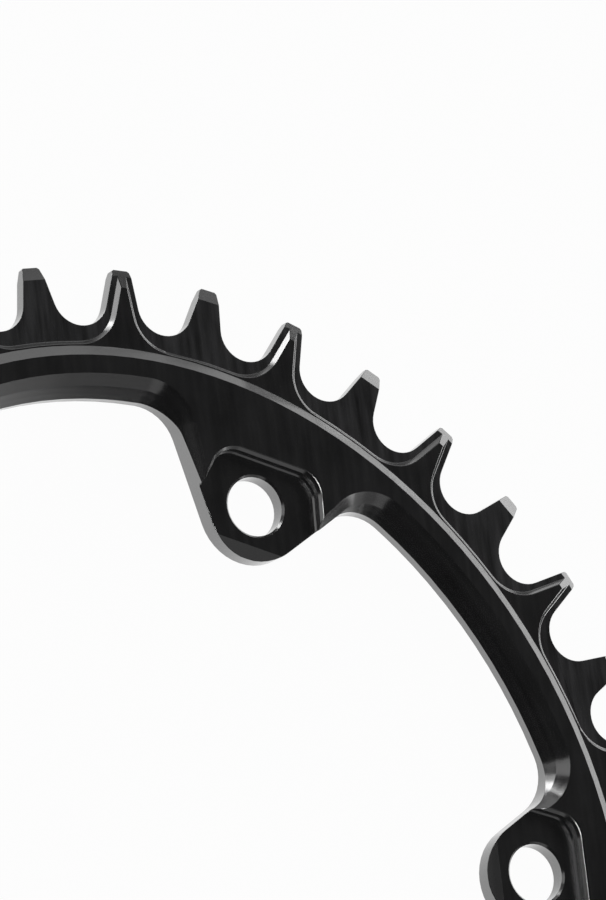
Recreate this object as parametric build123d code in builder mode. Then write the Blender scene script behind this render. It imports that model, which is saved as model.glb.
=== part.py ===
from build123d import *
import os
from math import cos, pi, radians, sin, tan

# Oval narrow-wide bicycle chainring, milled from one aluminium plate.
# It lies on its back face, with the bolt circle about the origin and the long axis of the oval along X.
# Lengths are in millimetres and angles in degrees. A drop is measured inwards from the chain's pitch line.

# Chain and the oval that its rollers follow
TOOTH_COUNT = 38
CHAIN_PITCH = 12.7
OVALITY = 8.5  # long semi-axis of the pitch line less the short one
INNER_OVALITY = 8.0  # the same of the inner edge, which is a little rounder
FIRST_GAP = -25.3  # direction in which the first tooth gap faces

# Tooth gaps and tips; heights are measured from the chord between two gap middles
ROOT_RADIUS = 4.04
GAP_HALF_ANGLE = 17.2
TIP_HEIGHT = 4.5
TIP_CORNER = 0.25
NARROW_BEVEL_LENGTH = 1.85
NARROW_BEVEL_DEPTH = 0.6
WIDE_BEVEL_LENGTH = 1.05
WIDE_BEVEL_DEPTH = 0.43

# Ribs that make every second tooth wide, and the raised land that joins them below the teeth
RIB_INSET = 0.84
RIB_DRAFT = 0.55
RIB_FILLET = 5.5
LAND_DROP = 6.27
LAND_WIDTH = 0.25

# Body: sloped shoulder, flat face, scooped inner edge
SHOULDER_WIDTH = 1.53
FACE_WIDTH = 2.35
SCOOP_WIDTH = 2.73
SCOOP_BREAK_WIDTH = 1.4
SCOOP_BREAK_DEPTH = 1.4
SCOOP_CORNER = 7.3
OPENING_CORNER = 6.4

# Thicknesses
NARROW_THICKNESS = 1.95
RIB_RISE = 0.7
SHOULDER_RISE = 1.15
LIP_THICKNESS = 1.4

# Bolt tabs and the seats milled into them for the crank's arms
BOLT_COUNT = 5
BOLT_CIRCLE = 107.0
BOLT_HOLE = 8.2
BOLT_HOLE_CHAMFER = 0.3
TAB_ANGLE = -43.3
TAB_RADIUS = 7.5
TAB_HALF_ANGLE = 36.0
TAB_LEAN = 3.5
TAB_OFFSET = 0.25
SCOOP_TAB_RADIUS = 7.0
SCOOP_TAB_HALF_ANGLE = 30.5
SEAT_DEPTH = 1.75
SEAT_TOP = 6.3
SEAT_HALF_WIDTH = 9.1
SEAT_SPLAY = 16.0
SEAT_CORNER = 3.5
SEAT_RIM_CHAMFER = 0.4
SEAT_FLOOR_CHAMFER = 0.2
TAB_FACET_LENGTH = 1.85
TAB_FACET_DROP = 0.5

# Levels above the back face
NARROW_BACK = RIB_RISE
NARROW_FRONT = NARROW_BACK + NARROW_THICKNESS
WIDE_FRONT = NARROW_FRONT + RIB_RISE
TOP = WIDE_FRONT + SHOULDER_RISE
TOOTH_MIDDLE = WIDE_FRONT / 2
SEAT_FLOOR = TOP - SEAT_DEPTH

# Drops of the edges that follow the oval
SHOULDER_FOOT_DROP = LAND_DROP + RIB_DRAFT + LAND_WIDTH
SHOULDER_CREST_DROP = SHOULDER_FOOT_DROP + SHOULDER_WIDTH
SCOOP_DROP = SHOULDER_CREST_DROP + FACE_WIDTH
OPENING_DROP = SCOOP_DROP + SCOOP_WIDTH

# Working values: how far a cut runs past the metal, how close two sizes count as the same, how many halvings find
# a place, points along a curve
CLEAR_CUT = 0.5
SAME_SIZE = 0.001
HALVINGS = 26
RUN_POINTS = 5
LOOP_POINTS = 36


def solve(rising, low, high):
    """Value between low and high where a rising function passes zero."""
    for _ in range(HALVINGS):
        middle = (low + high) / 2
        if rising(middle) < 0:
            low = middle
        else:
            high = middle
    return (low + high) / 2


def facing(angle):
    """Unit vector in the direction of an angle given in radians."""
    return Vector(cos(angle), sin(angle))


def turned(vector, degrees):
    """Vector turned counter-clockwise about the vertical."""
    return vector.rotate(Axis.Z, degrees)


def oval_of(mean_radius, angle, ovality=OVALITY):
    """Point of an oval about the origin where its normal faces the angle."""
    reach = mean_radius + ovality / 2 * cos(2 * angle)
    slip = -ovality * sin(2 * angle)
    return facing(angle) * reach + facing(angle + pi / 2) * slip


def next_gap(mean_radius, angle):
    """Angle at which the next gap faces, one chain pitch further on."""
    start = oval_of(mean_radius, angle)
    return solve(lambda ahead: (oval_of(mean_radius, ahead) - start).length - CHAIN_PITCH, angle, angle + pi / 4)


def gap_angles(mean_radius):
    """Angles at which all gaps face, the first one repeated after the last."""
    angles = [radians(FIRST_GAP)]
    for _ in range(TOOTH_COUNT):
        angles.append(next_gap(mean_radius, angles[-1]))
    return angles


def lap_left(mean_radius):
    """Part of a full turn that is left after one pitch for each tooth."""
    angles = gap_angles(mean_radius)
    return 2 * pi - (angles[-1] - angles[0])


# The mean radius closes the lap exactly: the chain's pitches add up to one full turn
ROUND_RADIUS = CHAIN_PITCH / (2 * sin(pi / TOOTH_COUNT))
MEAN_RADIUS = solve(lap_left, 0.9 * ROUND_RADIUS, 1.1 * ROUND_RADIUS)
GAP_ANGLES = gap_angles(MEAN_RADIUS)[:-1]


def oval(angle, drop=0.0, ovality=OVALITY):
    """Point on the line that runs a drop inside an oval, where it faces the angle."""
    return oval_of(MEAN_RADIUS, angle, ovality) - facing(angle) * drop


def oval_run(start, stop, drop, ovality=OVALITY):
    """Curve along such a line, from one facing angle to another."""
    angles = [start + (stop - start) * step / (RUN_POINTS - 1) for step in range(RUN_POINTS)]
    ends = (facing(start + pi / 2), facing(stop + pi / 2))
    return Spline(*[oval(angle, drop, ovality) for angle in angles], tangents=ends)


def oval_profile(height, drop):
    """Closed face inside such a line."""
    angles = [2 * pi * step / LOOP_POINTS for step in range(LOOP_POINTS)]
    with BuildSketch(Plane.XY.offset(height)) as profile:
        with BuildLine():
            Spline(*[oval(angle, drop) for angle in angles], periodic=True)
        make_face()
    return profile.sketch


def touching(drop, radius, edge_point, edge_normal, start, way, ovality=OVALITY):
    """Facing angle at which a circle carried along an oval touches a straight edge."""
    def gap(turn):
        return (oval(start + way * turn, drop, ovality) - edge_point).dot(edge_normal) - radius
    return start + way * solve(gap, 0, pi / 4)


# Teeth: middles of the gaps, and each tooth's own place, direction along the chain and outward direction
CENTRES = [oval(angle) for angle in GAP_ANGLES]
NEXT_CENTRES = CENTRES[1:] + CENTRES[:1]
MIDDLES = [(start + stop) / 2 for start, stop in zip(CENTRES, NEXT_CENTRES)]
ALONGS = [(stop - start).normalized() for start, stop in zip(CENTRES, NEXT_CENTRES)]
OUTWARDS = [turned(along, -90) for along in ALONGS]
NARROW_TEETH = range(0, TOOTH_COUNT, 2)
WIDE_TEETH = range(1, TOOTH_COUNT, 2)


def flank(gap, side):
    """Foot and direction of a gap's straight flank; side 1 is counter-clockwise of the gap, -1 clockwise."""
    gap = gap % TOOTH_COUNT
    axis = (OUTWARDS[gap - 1] + OUTWARDS[gap]).normalized()
    across = turned(axis, 90) * side
    lean = radians(GAP_HALF_ANGLE)
    direction = axis * cos(lean) + across * sin(lean)
    foot = CENTRES[gap] + (across * cos(lean) - axis * sin(lean)) * ROOT_RADIUS
    return foot, direction


def at_height(tooth, foot, direction, height):
    """Point of a flank at a height above the tooth's chord."""
    outward = OUTWARDS[tooth]
    run = (height - (foot - MIDDLES[tooth]).dot(outward)) / direction.dot(outward)
    return foot + direction * run


def tooth_profile(height):
    """Outline of the toothed plate: round roots, straight flanks, flat tips with broken corners."""
    with BuildSketch(Plane.XY.offset(height)) as profile:
        for tooth in range(TOOTH_COUNT):
            along = ALONGS[tooth]
            before, _ = flank(tooth, -1)
            rise_foot, rise = flank(tooth, 1)
            fall_foot, fall = flank(tooth + 1, -1)
            rise_tip = at_height(tooth, rise_foot, rise, TIP_HEIGHT)
            fall_tip = at_height(tooth, fall_foot, fall, TIP_HEIGHT)
            root_axis = ((before + rise_foot) / 2 - CENTRES[tooth]).normalized()
            with BuildLine():
                ThreePointArc(before, CENTRES[tooth] + root_axis * ROOT_RADIUS, rise_foot)
                Polyline(
                    rise_foot,
                    rise_tip - rise * TIP_CORNER,
                    rise_tip + along * TIP_CORNER,
                    fall_tip - along * TIP_CORNER,
                    fall_tip - fall * TIP_CORNER,
                    fall_foot,
                )
        make_face()
    return profile.sketch


def rib_edge(tooth, side, inset):
    """Straight edge of a wide tooth's rib: a point, its direction, the normal away from the rib, and the place
    on the land where the fillet at its foot ends."""
    foot, direction = flank(tooth if side < 0 else tooth + 1, -side)
    away = turned(direction, 90) * side
    start = GAP_ANGLES[tooth] + pi / TOOTH_COUNT
    outer_point = foot - away * RIB_INSET
    land_angle = touching(LAND_DROP - RIB_FILLET, RIB_FILLET, outer_point, away, start, side)
    return foot - away * (RIB_INSET + inset), direction, away, land_angle


def land_profile(height, inset):
    """Outline of the pointed ribs and of the land between them, drawn in by an inset."""
    fillet_radius = RIB_FILLET + inset
    drop = LAND_DROP + inset
    ends = []
    with BuildSketch(Plane.XY.offset(height)) as profile:
        for tooth in WIDE_TEETH:
            rise_point, rise, rise_away, rise_angle = rib_edge(tooth, -1, inset)
            fall_point, fall, fall_away, fall_angle = rib_edge(tooth, 1, inset)
            rise_foot = oval(rise_angle, drop - fillet_radius) - rise_away * fillet_radius
            fall_foot = oval(fall_angle, drop - fillet_radius) - fall_away * fillet_radius
            run = (fall_point - rise_point).dot(fall_away) / rise.dot(fall_away)
            with BuildLine():
                TangentArc(oval(rise_angle, drop), rise_foot, tangent=facing(rise_angle + pi / 2))
                Polyline(rise_foot, rise_point + rise * run, fall_foot)
                TangentArc(fall_foot, oval(fall_angle, drop), tangent=-fall)
            ends.append((rise_angle, fall_angle))
        for (_, start), (stop, _) in zip(ends, ends[1:] + ends[:1]):
            lap = 2 * pi if stop < start else 0
            with BuildLine():
                oval_run(start, stop + lap, drop)
        make_face()
    return profile.sketch


def opening_profile(height, drop, corner, tab_radius, tab_half_angle):
    """Outline of the central opening: the inner oval, drawn in round each bolt tab. The tabs lean and stand a little
    clockwise of the bolt holes."""
    lean = radians(TAB_LEAN)
    spread = radians(tab_half_angle)
    ends = []
    with BuildSketch(Plane.XY.offset(height)) as profile:
        for tab in range(BOLT_COUNT):
            angle = radians(TAB_ANGLE) + 2 * pi * tab / BOLT_COUNT
            middle = facing(angle) * (BOLT_CIRCLE / 2) - facing(angle + pi / 2) * TAB_OFFSET
            outward = facing(angle - lean)
            across = facing(angle - lean + pi / 2)
            feet = []
            with BuildLine():
                for side in (-1, 1):
                    away = across * side * cos(spread) - outward * sin(spread)
                    direction = across * side * sin(spread) + outward * cos(spread)
                    foot = middle + away * tab_radius
                    end = touching(drop + corner, corner, foot, away, angle, side, INNER_OVALITY)
                    corner_foot = oval(end, drop + corner, INNER_OVALITY) - away * corner
                    Line(foot, corner_foot)
                    TangentArc(corner_foot, oval(end, drop, INNER_OVALITY), tangent=direction)
                    feet.append(foot)
                    ends.append(end)
                ThreePointArc(feet[0], middle - outward * tab_radius, feet[1])
        for tab in range(BOLT_COUNT):
            start = ends[2 * tab + 1]
            stop = ends[(2 * tab + 2) % len(ends)]
            lap = 2 * pi if stop < start else 0
            with BuildLine():
                oval_run(start, stop + lap, drop, INNER_OVALITY)
        make_face()
    return profile.sketch


def scoop_profile(height, inset):
    """Outline of the scoop in the inner edge at one level, drawn in by an inset."""
    corner = SCOOP_CORNER - inset
    return opening_profile(height, SCOOP_DROP + inset, corner, SCOOP_TAB_RADIUS + inset, SCOOP_TAB_HALF_ANGLE)


def seat_profile(height, grow):
    """Outline of a tab's seat about its bolt hole, X outwards: a rounded end that widens towards the middle."""
    slope = tan(radians(SEAT_SPLAY))
    half_width = SEAT_HALF_WIDTH + grow / cos(radians(SEAT_SPLAY))
    top = SEAT_TOP + grow
    mouth = -2 * TAB_RADIUS
    with BuildSketch(Plane.XY.offset(height)) as profile:
        with BuildLine():
            Polyline(
                (mouth, -TAB_OFFSET - half_width + mouth * slope),
                (top, -TAB_OFFSET - half_width + top * slope),
                (top, -TAB_OFFSET + half_width - top * slope),
                (mouth, -TAB_OFFSET + half_width - mouth * slope),
                close=True,
            )
        make_face()
        fillet(profile.vertices().sort_by(Axis.X)[-2:], SEAT_CORNER + grow)
    return profile.sketch


# Cutter for one seat, about the bolt hole at the height of the finished ring: floor chamfer, wall, rim chamfer,
# and the facet that eases the tab's end
with BuildPart() as seat:
    floor_edge = seat_profile(SEAT_FLOOR, -SEAT_FLOOR_CHAMFER)
    wall_foot = seat_profile(SEAT_FLOOR + SEAT_FLOOR_CHAMFER, 0)
    wall_crest = seat_profile(TOP - SEAT_RIM_CHAMFER, 0)
    rim = seat_profile(TOP + CLEAR_CUT, SEAT_RIM_CHAMFER + CLEAR_CUT)
    loft(sections=[floor_edge, wall_foot, wall_crest, rim], ruled=True)
    facet_start = TAB_FACET_LENGTH - TAB_RADIUS
    facet_end = -2 * TAB_RADIUS
    facet_fall = TAB_FACET_DROP * (facet_start - facet_end) / TAB_FACET_LENGTH
    with BuildSketch(Plane.XZ):
        with BuildLine():
            Polyline(
                (facet_start, SEAT_FLOOR),
                (facet_start, SEAT_FLOOR + CLEAR_CUT),
                (facet_end, SEAT_FLOOR + CLEAR_CUT),
                (facet_end, SEAT_FLOOR - facet_fall),
                close=True,
            )
        make_face()
    extrude(amount=2 * TAB_RADIUS, both=True)


def tip_cutter(length, depth):
    """Pair of wedges that bevel one tooth tip front and back; X outwards from the tooth's chord, Z from its middle."""
    slope = depth / length
    foot = TIP_HEIGHT - length
    over = RIB_RISE + CLEAR_CUT
    reach = CHAIN_PITCH
    face = NARROW_THICKNESS / 2
    with BuildPart() as cutter:
        with BuildSketch(Plane.XZ):
            with BuildLine():
                Polyline(
                    (foot - over / slope, face + over),
                    (reach, face - (reach - foot) * slope),
                    (reach, face + over),
                    close=True,
                )
            make_face()
            mirror(about=Plane.XZ)
        extrude(amount=CHAIN_PITCH / 4, both=True)
    return cutter.part


def tooth_planes(teeth):
    """Planes at the middles of the teeth, X outwards."""
    places = []
    for tooth in teeth:
        origin = MIDDLES[tooth] + Vector(0, 0, TOOTH_MIDDLE)
        places.append(Plane(origin=origin, x_dir=OUTWARDS[tooth], z_dir=(0, 0, 1)))
    return places


NARROW_CUTTER = tip_cutter(NARROW_BEVEL_LENGTH, NARROW_BEVEL_DEPTH)
WIDE_CUTTER = tip_cutter(WIDE_BEVEL_LENGTH, WIDE_BEVEL_DEPTH)

# Ribs and land of the front, with drafted walls
with BuildPart() as land:
    loft(sections=[land_profile(NARROW_FRONT, 0), land_profile(WIDE_FRONT, RIB_DRAFT)], ruled=True)

with BuildPart() as chainring:
    # Toothed plate with the ribs and the land on both sides of it
    extrude(tooth_profile(NARROW_BACK), amount=NARROW_THICKNESS)
    add(land.part)
    mirror(land.part, about=Plane.XY.offset(TOOTH_MIDDLE))
    # Body that stands above the land, with its sloped shoulder
    shoulder_foot = oval_profile(WIDE_FRONT, SHOULDER_FOOT_DROP)
    shoulder_crest = oval_profile(TOP, SHOULDER_CREST_DROP)
    loft(sections=[shoulder_foot, shoulder_crest], ruled=True)
    # Bevelled tooth tips
    with Locations(*tooth_planes(NARROW_TEETH)):
        add(NARROW_CUTTER, mode=Mode.SUBTRACT)
    with Locations(*tooth_planes(WIDE_TEETH)):
        add(WIDE_CUTTER, mode=Mode.SUBTRACT)
    # Central opening round the five tabs
    opening = opening_profile(0, OPENING_DROP, OPENING_CORNER, TAB_RADIUS, TAB_HALF_ANGLE)
    extrude(opening, amount=TOP, mode=Mode.SUBTRACT)
    # Scoop: two slopes from the body's face down to the thin lip, run on past the lip
    scoop_slope = (TOP - LIP_THICKNESS - SCOOP_BREAK_DEPTH) / (SCOOP_WIDTH - SCOOP_BREAK_WIDTH)
    scoop_start = -CLEAR_CUT * SCOOP_BREAK_WIDTH / SCOOP_BREAK_DEPTH
    loft(
        sections=[
            scoop_profile(LIP_THICKNESS - CLEAR_CUT * scoop_slope, SCOOP_WIDTH + CLEAR_CUT),
            scoop_profile(TOP - SCOOP_BREAK_DEPTH, SCOOP_BREAK_WIDTH),
            scoop_profile(TOP + CLEAR_CUT, scoop_start),
        ],
        ruled=True,
        mode=Mode.SUBTRACT,
    )
    # Seats and bolt holes
    with PolarLocations(BOLT_CIRCLE / 2, BOLT_COUNT, start_angle=TAB_ANGLE):
        add(seat.part, mode=Mode.SUBTRACT)
        Cylinder(BOLT_HOLE / 2, 2 * TOP, mode=Mode.SUBTRACT)
    circles = chainring.edges().filter_by(GeomType.CIRCLE)
    rims = circles.filter_by(lambda edge: abs(edge.radius - BOLT_HOLE / 2) < SAME_SIZE)
    chamfer(rims, BOLT_HOLE_CHAMFER)

chainring.part.label = "chainring"
os.makedirs("parts", exist_ok=True)
export_step(chainring.part, "parts/chainring.step")
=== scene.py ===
import math

import bmesh
import bpy
from mathutils import Matrix, Vector


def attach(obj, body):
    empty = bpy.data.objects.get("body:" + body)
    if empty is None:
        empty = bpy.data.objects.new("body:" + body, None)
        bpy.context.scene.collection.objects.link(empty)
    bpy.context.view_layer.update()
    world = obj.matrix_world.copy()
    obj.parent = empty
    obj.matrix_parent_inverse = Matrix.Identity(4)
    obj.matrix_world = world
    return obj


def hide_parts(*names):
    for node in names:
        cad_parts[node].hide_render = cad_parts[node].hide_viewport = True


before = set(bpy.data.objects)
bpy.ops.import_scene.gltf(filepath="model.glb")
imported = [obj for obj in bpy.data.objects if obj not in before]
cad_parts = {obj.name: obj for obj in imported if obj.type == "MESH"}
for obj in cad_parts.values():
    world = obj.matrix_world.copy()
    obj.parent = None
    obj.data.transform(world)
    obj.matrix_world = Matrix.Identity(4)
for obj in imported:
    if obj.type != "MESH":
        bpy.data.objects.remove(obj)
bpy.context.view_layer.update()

# Chainring: one plate of aluminium, milled to an oval with narrow and wide teeth in turn, then anodised black.
# The cutter leaves level marks in the scoop, cross marks on the shoulder and faint straight passes on the flats.
# The dyed film is thin, hard and satin, a little thinner on the narrow teeth; edges are only just broken.
SAME_POINT = 0.000001
SLIVER = 0.00012
SAME_PLANE = math.radians(0.2)
CREASE = math.radians(12)
BROKEN_EDGE = math.radians(50)
EDGE_BREAK = 0.00006

SAME_LEVEL = 0.00001
BODY_TOP = 0.0045
RIM_DEPTH = 0.0005
SCOOP_BREAK_LEVEL = 0.0031
NARROW_TOOTH_LEVELS = (0.0007, 0.00265)
FLAT_TILT = 0.99
SLOPE_LEAST_TILT = 0.55
SLOPE_MOST_TILT = 0.85
SLOPE_RISE = 0.001

WALL_MARKS = 0.05
FLAT_MARKS = 0.15
SHOULDER_MARKS = 0.5
SCOOP_MARKS = 1.0

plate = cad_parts["chainring"]
milled = bmesh.new()
milled.from_mesh(plate.data)
bmesh.ops.remove_doubles(milled, verts=milled.verts, dist=SAME_POINT)
bmesh.ops.dissolve_degenerate(milled, edges=milled.edges, dist=SLIVER)
bmesh.ops.dissolve_limit(milled, verts=milled.verts, edges=milled.edges, angle_limit=SAME_PLANE)

flat_face = milled.faces.layers.float.new("flat_face")
mark_depth = milled.faces.layers.float.new("mark_depth")
thin_film = milled.faces.layers.float.new("thin_film")
cross_marks = milled.faces.layers.float.new("cross_marks")
for face in milled.faces:
    heights = [vertex.co.z for vertex in face.verts]
    tilt = face.normal.z
    face.smooth = True
    face[mark_depth] = WALL_MARKS
    if abs(tilt) > FLAT_TILT:
        face[flat_face] = 1.0
        face[mark_depth] = FLAT_MARKS
        if any(abs(heights[0] - level) < SAME_LEVEL for level in NARROW_TOOTH_LEVELS):
            face[thin_film] = 1.0
    elif SLOPE_LEAST_TILT < tilt < SLOPE_MOST_TILT and max(heights) - min(heights) > SLOPE_RISE:
        on_shoulder = face.normal.xy.dot(face.calc_center_median().xy) > 0
        face[cross_marks] = 1.0 if on_shoulder else 0.0
        face[mark_depth] = SHOULDER_MARKS if on_shoulder else SCOOP_MARKS

broken = milled.edges.layers.float.new("bevel_weight_edge")
for edge in milled.edges:
    turn = edge.calc_face_angle(0)
    on_scoop_break = all(abs(vertex.co.z - SCOOP_BREAK_LEVEL) < SAME_LEVEL for vertex in edge.verts)
    on_seat_rim = all(vertex.co.z > BODY_TOP - RIM_DEPTH for face in edge.link_faces for vertex in face.verts)
    edge.smooth = turn < CREASE and not on_scoop_break
    if turn > BROKEN_EDGE or (turn > CREASE and on_seat_rim):
        edge[broken] = 1.0

ring_mesh = bpy.data.meshes.new("ring")
milled.to_mesh(ring_mesh)
milled.free()
ring = bpy.data.objects.new("ring", ring_mesh)
bpy.context.scene.collection.objects.link(ring)
edge_break = ring.modifiers.new("broken_edges", "BEVEL")
edge_break.width = EDGE_BREAK
edge_break.segments = 2
edge_break.limit_method = "WEIGHT"
edge_break.use_clamp_overlap = False
even_shading = ring.modifiers.new("even_shading", "WEIGHTED_NORMAL")
even_shading.keep_sharp = True

FILM_BLACK = (0.001, 0.001, 0.00105, 1.0)
FILM_THIN = (0.017, 0.017, 0.0177, 1.0)
FILM_IOR = 2.1
SEAL_IOR = 1.7
SEAL_ROUGHNESS = 0.18
SMOOTHEST = 0.17
ROUGHEST = 0.25
NOISE_LOW = 0.3
NOISE_HIGH = 0.7

MARKS_PER_METRE = (40, 40, 1700)
STRIATIONS_PER_TURN = 1200.0
PASS_DIRECTION = math.radians(-24)
PASS_SIZE = (0.012, 0.0013, 0.012)
PASS_CONTRAST = 1.5
CLOUDS_PER_METRE = 160.0
MARK_HEIGHT = 0.00003
MARK_STRENGTH = 0.4


def make_node(nodes, kind, **inputs):
    """Adds a node and sets its inputs by name."""
    node = nodes.new(kind)
    for name, value in inputs.items():
        node.inputs[name.replace("_", " ")].default_value = value
    return node


def make_math(nodes, operation):
    """Adds a node that does one sum."""
    node = nodes.new("ShaderNodeMath")
    node.operation = operation
    return node


def read_faces(nodes, name):
    """Puts out the value that each face carries under this name."""
    node = nodes.new("ShaderNodeAttribute")
    node.attribute_name = name
    return node.outputs["Fac"]


anodised = bpy.data.materials.new("black_anodised")
anodised.use_nodes = True
nodes, links = anodised.node_tree.nodes, anodised.node_tree.links
film = nodes["Principled BSDF"]
film.inputs["Metallic"].default_value = 0.0
film.inputs["IOR"].default_value = FILM_IOR
film.inputs["Coat Weight"].default_value = 1.0
film.inputs["Coat Roughness"].default_value = SEAL_ROUGHNESS
film.inputs["Coat IOR"].default_value = SEAL_IOR
place = nodes.new("ShaderNodeTexCoord").outputs["Object"]

level = make_node(nodes, "ShaderNodeMapping", Scale=MARKS_PER_METRE)
links.new(place, level.inputs["Vector"])
level_marks = make_node(nodes, "ShaderNodeTexNoise", Scale=1.0, Detail=1.0, Roughness=0.4)
links.new(level.outputs["Vector"], level_marks.inputs["Vector"])

turning = nodes.new("ShaderNodeTexGradient")
turning.gradient_type = "RADIAL"
links.new(place, turning.inputs["Vector"])
striations = make_node(nodes, "ShaderNodeTexNoise", Scale=STRIATIONS_PER_TURN, Detail=1.0, Roughness=0.5)
striations.noise_dimensions = "1D"
links.new(turning.outputs["Fac"], striations.inputs["W"])

along_passes = make_node(nodes, "ShaderNodeMapping", Rotation=(0, 0, PASS_DIRECTION), Scale=PASS_SIZE)
along_passes.vector_type = "TEXTURE"
links.new(place, along_passes.inputs["Vector"])
face_passes = make_node(nodes, "ShaderNodeTexNoise", Scale=1.0, Detail=3.0, Roughness=0.55)
links.new(along_passes.outputs["Vector"], face_passes.inputs["Vector"])

slope_marks = nodes.new("ShaderNodeMix")
links.new(read_faces(nodes, "cross_marks"), slope_marks.inputs["Factor"])
links.new(level_marks.outputs["Fac"], slope_marks.inputs["A"])
links.new(striations.outputs["Fac"], slope_marks.inputs["B"])
marks = nodes.new("ShaderNodeMix")
links.new(read_faces(nodes, "flat_face"), marks.inputs["Factor"])
links.new(slope_marks.outputs["Result"], marks.inputs["A"])
links.new(face_passes.outputs["Fac"], marks.inputs["B"])

clouds = make_node(nodes, "ShaderNodeTexNoise", Scale=CLOUDS_PER_METRE, Detail=4.0, Roughness=0.6)
links.new(place, clouds.inputs["Vector"])
brushing = make_node(
    nodes, "ShaderNodeMapRange", From_Min=NOISE_LOW, From_Max=NOISE_HIGH, To_Min=0.0, To_Max=PASS_CONTRAST
)
links.new(face_passes.outputs["Fac"], brushing.inputs["Value"])
thinness = make_math(nodes, "MULTIPLY_ADD")
links.new(read_faces(nodes, "thin_film"), thinness.inputs[0])
links.new(brushing.outputs["Result"], thinness.inputs[1])
links.new(clouds.outputs["Fac"], thinness.inputs[2])
tone = nodes.new("ShaderNodeMix")
tone.data_type = "RGBA"
tone.clamp_factor = False
tone.inputs["A"].default_value = FILM_BLACK
tone.inputs["B"].default_value = FILM_THIN
links.new(thinness.outputs["Value"], tone.inputs["Factor"])
links.new(tone.outputs["Result"], film.inputs["Base Color"])

satin = make_node(
    nodes, "ShaderNodeMapRange", From_Min=NOISE_LOW, From_Max=NOISE_HIGH, To_Min=SMOOTHEST, To_Max=ROUGHEST
)
links.new(marks.outputs["Result"], satin.inputs["Value"])
links.new(satin.outputs["Result"], film.inputs["Roughness"])

mark_height = make_math(nodes, "MULTIPLY")
links.new(marks.outputs["Result"], mark_height.inputs[0])
links.new(read_faces(nodes, "mark_depth"), mark_height.inputs[1])
relief = make_node(nodes, "ShaderNodeBump", Strength=MARK_STRENGTH, Distance=MARK_HEIGHT)
links.new(mark_height.outputs["Value"], relief.inputs["Height"])
links.new(relief.outputs["Normal"], film.inputs["Normal"])

ring_mesh.materials.append(anodised)
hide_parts("chainring")
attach(ring, "root")

# Floor: a wide, smooth sheet of white paper that the ring lies on, just below its back face.
# It glows white to the camera and in the ring's reflections; where a reflection sees it at a low angle its glow is
# turned down, a painted shade in the reflected floor, and a small share of plain paper keeps the ring's soft shadow.
FLOOR_HALF = 4.0
FLOOR_GAP = 0.00005
PAPER_WHITE = (0.9, 0.9, 0.9, 1)
WHITE_SHARE = 0.95
LOW_ANGLE_START = 0.75
LOW_ANGLE_END = 0.97
LOW_ANGLE_LIGHT = 0.3

corners = [(-FLOOR_HALF, -FLOOR_HALF), (FLOOR_HALF, -FLOOR_HALF), (FLOOR_HALF, FLOOR_HALF), (-FLOOR_HALF, FLOOR_HALF)]
floor_mesh = bpy.data.meshes.new("floor")
floor_mesh.from_pydata([(x, y, -FLOOR_GAP) for x, y in corners], [], [(0, 1, 2, 3)])
floor = bpy.data.objects.new("floor", floor_mesh)
bpy.context.scene.collection.objects.link(floor)

sheet = bpy.data.materials.new("white_sheet")
sheet.use_nodes = True
nodes, links = sheet.node_tree.nodes, sheet.node_tree.links
paper = nodes["Principled BSDF"]
paper.inputs["Base Color"].default_value = PAPER_WHITE
paper.inputs["Roughness"].default_value = 0.9
paper.inputs["Specular IOR Level"].default_value = 0.1

seen = nodes.new("ShaderNodeLightPath")
slant = nodes.new("ShaderNodeLayerWeight")
# Painted shade: the glow that the ring reflects falls towards LOW_ANGLE_LIGHT where the floor is seen at a low angle.
painted_low_angle_shade = make_node(
    nodes, "ShaderNodeMapRange", From_Min=LOW_ANGLE_START, From_Max=LOW_ANGLE_END, To_Min=1.0, To_Max=LOW_ANGLE_LIGHT
)
links.new(slant.outputs["Facing"], painted_low_angle_shade.inputs["Value"])
white_light = make_math(nodes, "MAXIMUM")
links.new(seen.outputs["Is Camera Ray"], white_light.inputs[0])
links.new(painted_low_angle_shade.outputs["Result"], white_light.inputs[1])
white = make_node(nodes, "ShaderNodeEmission")
links.new(white_light.outputs["Value"], white.inputs["Strength"])

seen_or_reflected = make_math(nodes, "MAXIMUM")
links.new(seen.outputs["Is Camera Ray"], seen_or_reflected.inputs[0])
links.new(seen.outputs["Is Glossy Ray"], seen_or_reflected.inputs[1])
white_share = make_math(nodes, "MULTIPLY")
white_share.inputs[1].default_value = WHITE_SHARE
links.new(seen_or_reflected.outputs["Value"], white_share.inputs[0])
blend = nodes.new("ShaderNodeMixShader")
links.new(white_share.outputs["Value"], blend.inputs["Fac"])
links.new(paper.outputs["BSDF"], blend.inputs[1])
links.new(white.outputs["Emission"], blend.inputs[2])
links.new(blend.outputs["Shader"], nodes["Material Output"].inputs["Surface"])
floor_mesh.materials.append(sheet)

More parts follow.
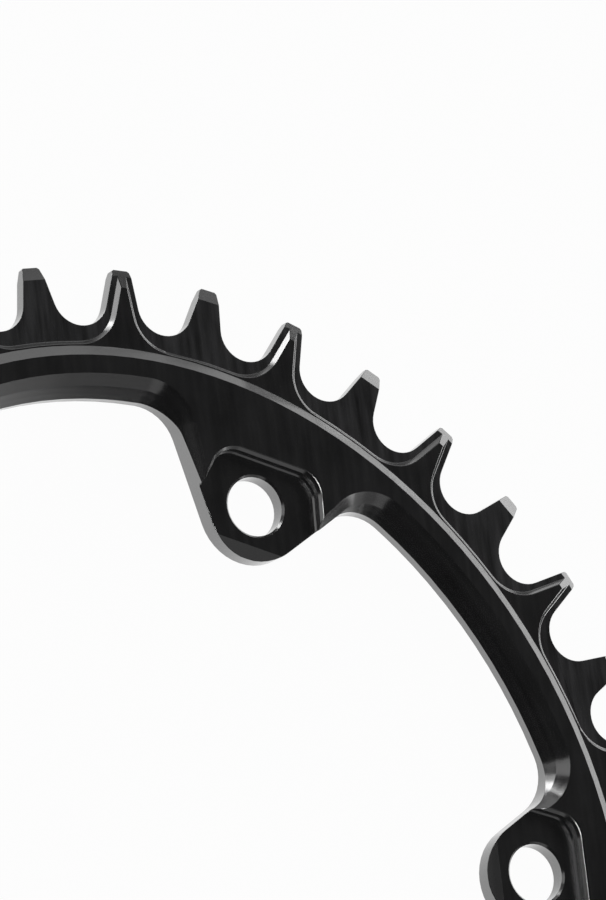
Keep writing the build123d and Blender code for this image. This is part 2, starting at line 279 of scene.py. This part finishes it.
# Studio: a dim room with softboxes in a ring, all at one distance and turned to the chainring.
# The low ones show as broad lights in its slopes, walls and tooth tips; the key hangs almost overhead
# and lights the flats. Each row gives azimuth from +X, elevation, width, height and the radiance of its face.
ROOM_GREY = (0.012, 0.012, 0.012, 1)
SOFTBOX_DISTANCE = 1.8
SOFTBOXES = {
    "softbox_behind": (-100, 8, 1.9, 0.5, 1.9),
    "softbox_behind_side": (-45, 8, 1.9, 0.5, 0.55),
    "softbox_behind_upper": (-88, 26, 0.9, 0.6, 2.3),
    "softbox_behind_side_upper": (-58, 32, 0.7, 0.6, 0.4),
    "softbox_corner": (229, 3, 0.5, 0.5, 4.0),
    "softbox_corner_next": (213, 3, 0.5, 0.5, 1.2),
    "softbox_corner_edge": (198, 8, 0.5, 0.5, 0.32),
    "softbox_corner_fill": (180, 15, 0.6, 0.5, 0.2),
    "softbox_seat": (160, 23, 0.6, 0.5, 0.32),
    "softbox_side": (-1, 8, 0.6, 0.5, 7.0),
    "softbox_side_next": (18, 8, 0.6, 0.5, 1.8),
    "softbox_side_upper": (38, 27, 0.87, 0.6, 0.7),
    "softbox_key": (85, 75, 0.9, 0.3, 20.0),
    "softbox_fill": (212, 72, 0.6, 0.6, 0.18),
}

scene = bpy.context.scene
scene.view_settings.view_transform = "Standard"
room = bpy.data.worlds.new("room")
room.use_nodes = True
room.node_tree.nodes["Background"].inputs["Color"].default_value = ROOM_GREY
scene.world = room

for name, (azimuth, elevation, width, height, radiance) in SOFTBOXES.items():
    a, e = math.radians(azimuth), math.radians(elevation)
    away = Vector((math.cos(a) * math.cos(e), math.sin(a) * math.cos(e), math.sin(e)))
    lamp = bpy.data.lights.new(name, "AREA")
    lamp.shape = "RECTANGLE"
    lamp.size, lamp.size_y = width, height
    lamp.energy = radiance * math.pi * width * height
    softbox = bpy.data.objects.new(name, lamp)
    softbox.location = away * SOFTBOX_DISTANCE
    softbox.rotation_euler = away.to_track_quat("Z", "Y").to_euler()
    scene.collection.objects.link(softbox)

# Camera: the photograph's view, through a long lens that looks down on the ring from about 57 degrees.
# Place and turn come from a fit to the tooth gaps, tips and edges and to the bolt hole.
RIGHT = Vector((-0.4745, -0.7413, 0.4747)).normalized()
BACK = Vector((-0.001, 0.5397, 0.8419)).normalized()
CAMERA_PLACE = (0.04176, 0.39032, 0.68584)
FOCAL_LENGTH = 240
SENSOR_WIDTH = 36

up = BACK.cross(RIGHT).normalized()
right = up.cross(BACK)
eye = bpy.data.cameras.new("camera")
eye.lens = FOCAL_LENGTH
eye.sensor_width = SENSOR_WIDTH
eye.clip_start, eye.clip_end = 0.01, 20
camera = bpy.data.objects.new("camera", eye)
camera.matrix_world = Matrix.Translation(CAMERA_PLACE) @ Matrix((right, up, BACK)).transposed().to_4x4()
scene.collection.objects.link(camera)
scene.camera = camera
